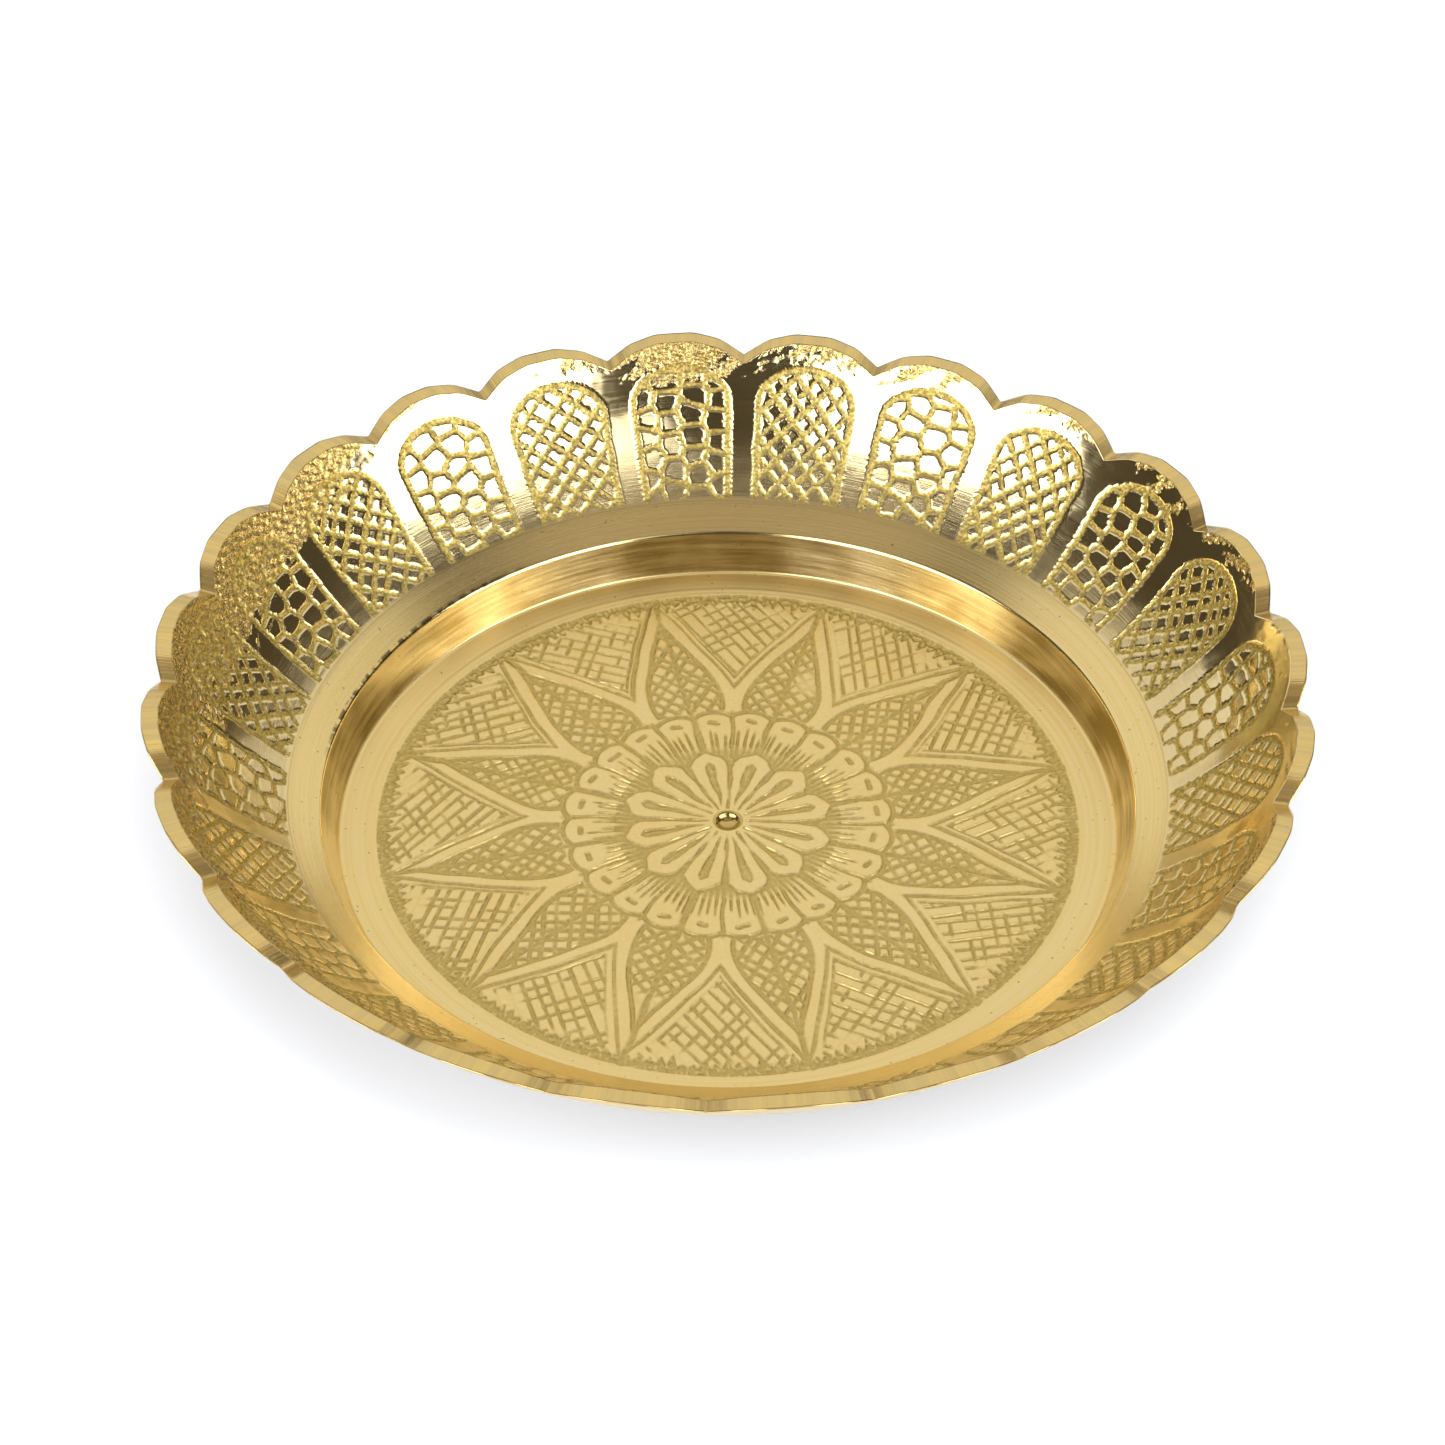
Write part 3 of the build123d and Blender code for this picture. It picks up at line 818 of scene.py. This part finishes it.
BRASS = (0.88, 0.68, 0.28)
PALE_BRASS = (0.91, 0.74, 0.37)
DEEP_BRASS = (0.84, 0.63, 0.24)
FILED_BRASS = (0.72, 0.56, 0.25)
# darker brass that paints shade on the outside and underside
SHADED_OUTSIDE_BRASS = (0.58, 0.43, 0.19)
WALL_BRASS = (0.89, 0.74, 0.40)
PALE_WALL_BRASS = (0.93, 0.79, 0.47)
LOW_WALL_BRASS = (0.85, 0.70, 0.38)
FLOOR_CUT_BRASS = (0.56, 0.43, 0.14)
CUT_BRASS = (0.74, 0.57, 0.18)
STEP_BRASS = (0.88, 0.74, 0.46)
DULL_BRASS = (0.38, 0.30, 0.09)
BROWN_BRASS = (0.42, 0.31, 0.12)
# dark brown for the painted line of shade beside the lip
LIP_SHADE_BROWN = (0.16, 0.11, 0.05)

# Noise lies around 0.5. These are the two ends for a ramp that spreads it softly or crisply.
SOFT = (0.3, 0.7)
CRISP = (0.35, 0.65)

# The colour sockets of a mix node
MIX_FIRST = 6
MIX_SECOND = 7
MIX_RESULT = 2


class Shader:
    """One procedural material; each method adds a node and returns its output."""

    def __init__(self, name, metallic=1.0):
        self.material = bpy.data.materials.new(name)
        self.material.use_nodes = True
        self.tree = self.material.node_tree
        self.surface = self.tree.nodes["Principled BSDF"].inputs
        self.surface["Metallic"].default_value = metallic
        self.normal = None

    def node(self, kind, inputs=(), output=0, **settings):
        new = self.tree.nodes.new(kind)
        for setting, value in settings.items():
            setattr(new, setting, value)
        for socket, value in dict(inputs).items():
            self.feed(new.inputs[socket], value)
        return new.outputs[output]

    def feed(self, socket, value):
        if isinstance(value, bpy.types.NodeSocket):
            self.tree.links.new(value, socket)
        else:
            socket.default_value = value

    def math(self, operation, *values):
        return self.node("ShaderNodeMath", dict(enumerate(values)), operation=operation)

    def plus(self, first, second):
        return self.math("ADD", first, second)

    def times(self, first, second):
        return self.math("MULTIPLY", first, second)

    def attribute(self, name):
        return self.node("ShaderNodeAttribute", output="Fac", attribute_name=name)

    def place(self):
        """Position on the tray in drawing millimetres: x, y and z."""
        position = self.node("ShaderNodeTexCoord", output="Object")
        scaled = self.node("ShaderNodeVectorMath", {0: position, 1: (1 / MM,) * 3}, operation="MULTIPLY")
        return [self.node("ShaderNodeSeparateXYZ", {0: scaled}, output=axis) for axis in "XYZ"]

    def noise(self, x, y, z, detail=3.0, roughness=0.55):
        """Random values around 0.5; one unit of x, y or z is one wave."""
        vector = self.node("ShaderNodeCombineXYZ", {"X": x, "Y": y, "Z": z})
        inputs = {"Vector": vector, "Scale": 1.0, "Detail": detail, "Roughness": roughness}
        return self.node("ShaderNodeTexNoise", inputs)

    def speckle(self, size, detail=2.0):
        """Even noise with waves of this many millimetres."""
        x, y, z = (self.math("DIVIDE", axis, size) for axis in self.place())
        return self.noise(x, y, z, detail=detail)

    def lathe_lines(self, pitch, length=25.0):
        """Fine lines around the turning axis; length is how soon a line changes along its way."""
        x, y, z = self.place()
        radius = self.math("SQRT", self.plus(self.times(x, x), self.times(y, y)))
        across = self.math("DIVIDE", self.plus(radius, z), pitch)
        return self.noise(self.math("DIVIDE", x, length), self.math("DIVIDE", y, length), across)

    def ramp(self, value, low, high, to_low=0.0, to_high=1.0):
        """Stretches low..high to to_low..to_high, and stays within them."""
        inputs = {"Value": value, "From Min": low, "From Max": high, "To Min": to_low, "To Max": to_high}
        return self.node("ShaderNodeMapRange", inputs, output="Result")

    def mix(self, share, first, second):
        """Colour between first at share 0 and second at share 1."""
        colours = [(*colour, 1) if isinstance(colour, tuple) else colour for colour in (first, second)]
        inputs = {"Factor": share, MIX_FIRST: colours[0], MIX_SECOND: colours[1]}
        return self.node("ShaderNodeMix", inputs, output=MIX_RESULT, data_type="RGBA")

    def bump(self, height, depth_mm, strength=1.0):
        """Raises the surface by up to depth_mm where height is 1; calls add up."""
        inputs = {"Height": height, "Distance": depth_mm * MM, "Strength": strength}
        if self.normal is not None:
            inputs["Normal"] = self.normal
        self.normal = self.node("ShaderNodeBump", inputs)

    def finish(self, colour, roughness):
        self.feed(self.surface["Base Color"], colour)
        self.feed(self.surface["Roughness"], roughness)
        if self.normal is not None:
            self.feed(self.surface["Normal"], self.normal)
        return self.material


def floor_finish():
    """Satin floor with faint turning lines and a fine grain; the cut lines are darker and dull."""
    shader = Shader("brass_engraved_floor")
    cut = shader.attribute("cut")
    lines = shader.lathe_lines(0.22)
    patches = shader.speckle(9.0)
    grit = shader.speckle(0.45, detail=3.0)
    pale = shader.plus(shader.ramp(patches, *CRISP, 0, 0.6), shader.ramp(grit, *SOFT, -0.5, 0.8))
    plain = shader.mix(pale, BRASS, PALE_BRASS)
    # the cut lines are coloured darker brass
    darkening = shader.times(shader.ramp(cut, 0.0, 0.7), shader.ramp(grit, *CRISP, 1.0, 0.7))
    colour = shader.mix(darkening, plain, FLOOR_CUT_BRASS)
    roughness = shader.plus(shader.ramp(grit, *SOFT, 0.30, 0.42), shader.times(cut, 0.10))
    shader.bump(lines, 0.012)
    shader.bump(grit, 0.035)
    return shader.finish(colour, roughness)


def step_colour(shader, z, metal):
    """Polished riser of the step, streaked brown and gold; the rest keeps its metal."""
    rise = shader.ramp(z, FLOOR_HEIGHT + 0.1, FLOOR_HEIGHT + 0.4)
    below_lip = shader.ramp(z, LIP_HEIGHT - 0.4, LIP_HEIGHT - 0.1, 1, 0)
    fine_streaks = shader.times(shader.lathe_lines(0.7, length=12.0), 0.4)
    streaks = shader.plus(fine_streaks, shader.times(shader.speckle(12.0), 0.6))
    riser = shader.mix(shader.ramp(streaks, 0.40, 0.58, 0.1, 1), BROWN_BRASS, STEP_BRASS)
    return shader.mix(shader.times(rise, below_lip), metal, riser)


def lip_shade_line(shader, x, y, z):
    """Where the broken dark line of painted shade runs: on the ledge beside the lip, on the left."""
    beside_lip = shader.times(shader.ramp(z, LIP_HEIGHT - 0.10, LIP_HEIGHT),
                              shader.ramp(z, LIP_HEIGHT + 0.25, LIP_HEIGHT + 0.40, 1, 0))
    on_the_left = shader.times(shader.ramp(x, -28.0, -36.0), shader.ramp(y, 4.0, 10.0))
    broken = shader.ramp(shader.speckle(2.0, detail=4.0), 0.42, 0.52, 0, 0.9)
    return shader.times(shader.times(beside_lip, on_the_left), broken)


def turned_finish():
    """Turned metal with fine lines around the axis and a few tiny pits; the step itself is polished."""
    shader = Shader("brass_turned_step")
    x, y, z = shader.place()
    fine = shader.lathe_lines(0.10)
    broad = shader.lathe_lines(0.45, length=60.0)
    metal = shader.mix(shader.ramp(broad, *CRISP), BRASS, PALE_BRASS)
    metal = step_colour(shader, z, metal)
    # painted shade: the ledge turns browner, in bands, towards its corner with the wall
    corner = shader.ramp(z, WALL_START_HEIGHT - 0.9, WALL_START_HEIGHT - 0.1, 0, 0.5)
    metal = shader.mix(shader.times(corner, shader.ramp(broad, 0.45, 0.6)), metal, BROWN_BRASS)
    pits = shader.ramp(shader.speckle(0.5, detail=0.0), 0.81, 0.83, 0, 0.8)
    metal = shader.mix(pits, metal, DULL_BRASS)
    # a broken line of painted shade darkens the ledge beside the lip on the left
    colour = shader.mix(lip_shade_line(shader, x, y, z), metal, LIP_SHADE_BROWN)
    dull_band = shader.ramp(z, FLOOR_HEIGHT + 0.1, FLOOR_HEIGHT + 0.4, 0.20, 0)
    dull_ledge = shader.ramp(z, LIP_HEIGHT + 0.05, LIP_HEIGHT + 0.3, 0, 0.10)
    roughness = shader.plus(shader.ramp(fine, *SOFT, 0.12, 0.18), shader.plus(dull_band, dull_ledge))
    shader.bump(fine, 0.006)
    shader.bump(broad, 0.008)
    return shader.finish(colour, roughness)


def wall_colour(shader, y, turned, cut, grain_share, sparkle):
    """Plain metal with painted shade that browns it in mottles towards the front; rough casting over it,
    and the cut lines over both.
    """
    patches = shader.speckle(7.0)
    plain = shader.mix(shader.ramp(patches, *CRISP), WALL_BRASS, PALE_WALL_BRASS)
    plain = shader.mix(turned, plain, LOW_WALL_BRASS)
    # painted shade: the front of the wall is browned in mottles
    front = shader.ramp(y, -45.0, -5.0, 1, 0)
    shade_mottle = shader.ramp(shader.speckle(2.2, detail=5.0), 0.47, 0.66, 0, 0.75)
    plain = shader.mix(shader.times(front, shade_mottle), plain, BROWN_BRASS)
    cast = shader.mix(shader.ramp(sparkle, 0.40, 0.58), BROWN_BRASS, DEEP_BRASS)
    chips = shader.mix(shader.ramp(sparkle, 0.42, 0.60), DULL_BRASS, CUT_BRASS)
    return shader.mix(shader.ramp(cut, 0.1, 0.5), shader.mix(grain_share, plain, cast), chips)


def wall_finish():
    """Polished wall with sparkling cut lines, and grainy patches left from the casting."""
    shader = Shader("brass_polished_wall")
    cut = shader.attribute("cut")
    grain_share = shader.attribute("grain")
    _, y, z = shader.place()
    turned = shader.ramp(z, WALL_START_HEIGHT + 2.5, WALL_START_HEIGHT + 6.5, 1, 0)
    scratches = shader.lathe_lines(0.22, length=8.0)
    sparkle = shader.speckle(0.42, detail=4.0)
    colour = wall_colour(shader, y, turned, cut, grain_share, sparkle)
    roughness = shader.plus(shader.ramp(scratches, 0.35, 0.75, 0.07, 0.15), shader.times(turned, 0.10))
    roughness = shader.plus(roughness, shader.times(cut, 0.28))
    roughness = shader.plus(roughness, shader.times(grain_share, 0.15))
    shader.bump(shader.speckle(3.5, detail=1.0), 0.05)
    shader.bump(scratches, 0.014, strength=shader.math("MULTIPLY_ADD", turned, 0.85, 0.15))
    shader.bump(sparkle, 0.26, strength=shader.math("MAXIMUM", cut, shader.times(grain_share, 0.6)))
    return shader.finish(colour, roughness)


def filed_finish():
    """Filed rim with fine straight marks across it, and painted shade that browns the notches."""
    shader = Shader("brass_filed_rim")
    x, y, _ = shader.place()
    around = shader.times(shader.math("ARCTAN2", y, x), DRAWN_RADIUS)
    marks = shader.noise(shader.math("DIVIDE", around, 0.16), 0.5, 0.5)
    strokes = shader.noise(shader.math("DIVIDE", around, 0.9), 0.5, 0.5)
    metal = shader.mix(shader.ramp(strokes, *CRISP), FILED_BRASS, DEEP_BRASS)
    # painted shade: the notches are browned, broken up by the strokes
    darkening = shader.times(shader.attribute("grain"), shader.ramp(strokes, 0.4, 0.6, 1.0, 0.3))
    shader.bump(marks, 0.03)
    return shader.finish(shader.mix(darkening, metal, BROWN_BRASS), shader.ramp(marks, *SOFT, 0.16, 0.26))


def polished_finish():
    """Small polished hollow."""
    shader = Shader("brass_polished_hollow")
    lines = shader.lathe_lines(0.10)
    colour = shader.mix(shader.ramp(lines, *CRISP), DULL_BRASS, DEEP_BRASS)
    shader.bump(lines, 0.003)
    return shader.finish(colour, shader.ramp(lines, *SOFT, 0.15, 0.22))


def outside_finish():
    """Turned outside and underside, duller than the inside, with painted shade that makes it browner."""
    shader = Shader("brass_turned_outside")
    lines = shader.lathe_lines(0.35, length=40.0)
    patches = shader.speckle(11.0)
    worn = shader.plus(shader.ramp(patches, *SOFT, 0.1, 0.5), shader.ramp(lines, *CRISP, 0, 0.4))
    # painted shade: the outside's base colour is darkened
    colour = shader.mix(worn, SHADED_OUTSIDE_BRASS, FILED_BRASS)
    roughness = shader.plus(shader.ramp(lines, *SOFT, 0.26, 0.38), shader.ramp(patches, *SOFT, 0, 0.08))
    shader.bump(lines, 0.020)
    shader.bump(shader.speckle(0.5), 0.006)
    return shader.finish(colour, roughness)


FINISHES = {
    "polished": polished_finish,
    "floor": floor_finish,
    "turned": turned_finish,
    "wall": wall_finish,
    "filed": filed_finish,
    "outside": outside_finish,
}


# ----- The tray -----

build_hollow()
build_floor()
build_step()
build_wall()
build_rim()
build_outside()
build_foot()

tray = build_mesh("tray_body_engraved", list(FINISHES))
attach(tray, "root")
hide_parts(TRAY_NODE)
tray.visible_diffuse = False    # keeps the tray from throwing yellow glints on the table


# ----- Table top, light and camera -----

# The camera looks along +Y, turned by VIEW_TURN around the tray's axis
VIEW_TURN = np.radians(1.9)
CAMERA_ACROSS = -0.7  # place of the camera in millimetres: to its own right,
CAMERA_TOWARDS = 404.7  # from the tray's axis towards it
CAMERA_UP = 381.6  # and up from the table
LOOK_DOWN_DEGREES = 41.8
SENSOR_WIDTH = 36
LENS = 104.6

WHITE = (1.0, 1.0, 1.0)
WARM_WHITE = (1.0, 0.965, 0.90)
COOL_WHITE = (0.95, 0.97, 1.0)
CEILING = (1.0, 0.87, 0.74)
DARK_ROOM = (0.070, 0.057, 0.038)

TABLE_PAINT = (0.845, 0.865, 0.905)
PALE_TABLE_PAINT = (0.875, 0.895, 0.935)
TABLE_SIZE = 160 * frame_radius
TABLE_GLOW_START = 5 * frame_radius
TABLE_GLOW_END = 12 * frame_radius


def from_camera(across, towards, up):
    """Place given in millimetres: to the camera's right, towards it, and up from the table."""
    right = Vector((np.cos(VIEW_TURN), np.sin(VIEW_TURN), 0))
    away = Vector((-np.sin(VIEW_TURN), np.cos(VIEW_TURN), 0))
    return (right * across - away * towards + Vector((0, 0, up))) * MM


def table_material():
    """White paint with the faintest unevenness; far from the tray it glows, so it has no dark end."""
    shader = Shader("white_table", metallic=0.0)
    unevenness = shader.node("ShaderNodeTexNoise", {"Scale": 3.0})
    position = shader.node("ShaderNodeTexCoord", output="Object")
    distance = shader.node("ShaderNodeVectorMath", {0: position}, output="Value", operation="LENGTH")
    glow = shader.ramp(distance, TABLE_GLOW_START, TABLE_GLOW_END)
    shader.feed(shader.surface["Emission Color"], (*WHITE, 1))
    shader.feed(shader.surface["Emission Strength"], glow)
    shader.feed(shader.surface["Specular IOR Level"], 0.1)
    return shader.finish(shader.mix(unevenness, TABLE_PAINT, PALE_TABLE_PAINT), 0.9)


def build_table():
    bpy.ops.mesh.primitive_plane_add(size=TABLE_SIZE, location=(0, 0, box_low.z))
    table = bpy.context.object
    table.name = "table_top"
    table.data.materials.append(table_material())


def softbox(name, azimuth, elevation, distance, width, height, radiance, colour=WHITE, lean=0):
    """Rectangular light aimed at the tray, from azimuth degrees to the right of the camera and elevation
    degrees up; lean turns it around its own beam.
    """
    turn = np.radians(azimuth)
    rise = np.radians(elevation)
    flat = distance * np.cos(rise)
    place = from_camera(flat * np.sin(turn), flat * np.cos(turn), distance * np.sin(rise))
    light = bpy.data.lights.new(name, "AREA")
    light.shape = "RECTANGLE"
    light.color = colour
    light.size = width * MM
    light.size_y = height * MM
    light.energy = radiance * np.pi * light.size * light.size_y
    piece = bpy.data.objects.new(name, light)
    piece.location = place
    aim = (-place).to_track_quat("-Z", "Y") @ Quaternion((0, 0, 1), np.radians(lean))
    piece.rotation_euler = aim.to_euler()
    bpy.context.scene.collection.objects.link(piece)
    return piece


def build_lights():
    """Two bright soft lights in front that the far wall mirrors, weaker ones around, one for the table."""
    softbox("softbox_right", 55, 29, distance=900, width=730, height=760, radiance=3.8, lean=-20)
    softbox("softbox_left", -47, 29, distance=900, width=840, height=760, radiance=3.8, lean=20)
    softbox("softbox_behind", -175, 43, distance=1000, width=2250, height=1350,
            radiance=0.78, colour=WARM_WHITE)
    softbox("softbox_above", 0, 90, distance=1300, width=1300, height=1000,
            radiance=0.33, colour=CEILING)
    softbox("softbox_front", 27, 54, distance=900, width=220, height=220, radiance=1.5)
    table_light = softbox("softbox_table", 12, 62, distance=900, width=500, height=500,
                          radiance=6.0, colour=COOL_WHITE)
    table_light.visible_glossy = False


def build_world():
    """A room that is dark to the metal, but white behind it as seen by the camera."""
    world = bpy.data.worlds.new("studio")
    world.use_nodes = True
    nodes = world.node_tree.nodes
    links = world.node_tree.links
    blend = nodes.new("ShaderNodeMix")
    blend.data_type = "RGBA"
    blend.inputs[MIX_FIRST].default_value = (*DARK_ROOM, 1)
    blend.inputs[MIX_SECOND].default_value = (*WHITE, 1)
    links.new(nodes.new("ShaderNodeLightPath").outputs["Is Camera Ray"], blend.inputs["Factor"])
    links.new(blend.outputs[MIX_RESULT], nodes["Background"].inputs["Color"])
    bpy.context.scene.world = world


def build_camera():
    data = bpy.data.cameras.new("camera")
    data.sensor_width = SENSOR_WIDTH
    data.lens = LENS
    data.clip_end = 100
    camera = bpy.data.objects.new("camera", data)
    camera.location = from_camera(CAMERA_ACROSS, CAMERA_TOWARDS, CAMERA_UP)
    camera.rotation_euler = (np.radians(90 - LOOK_DOWN_DEGREES), 0, VIEW_TURN)
    bpy.context.scene.collection.objects.link(camera)
    bpy.context.scene.camera = camera


build_table()
build_lights()
build_world()
build_camera()
bpy.context.scene.view_settings.view_transform = "Standard"
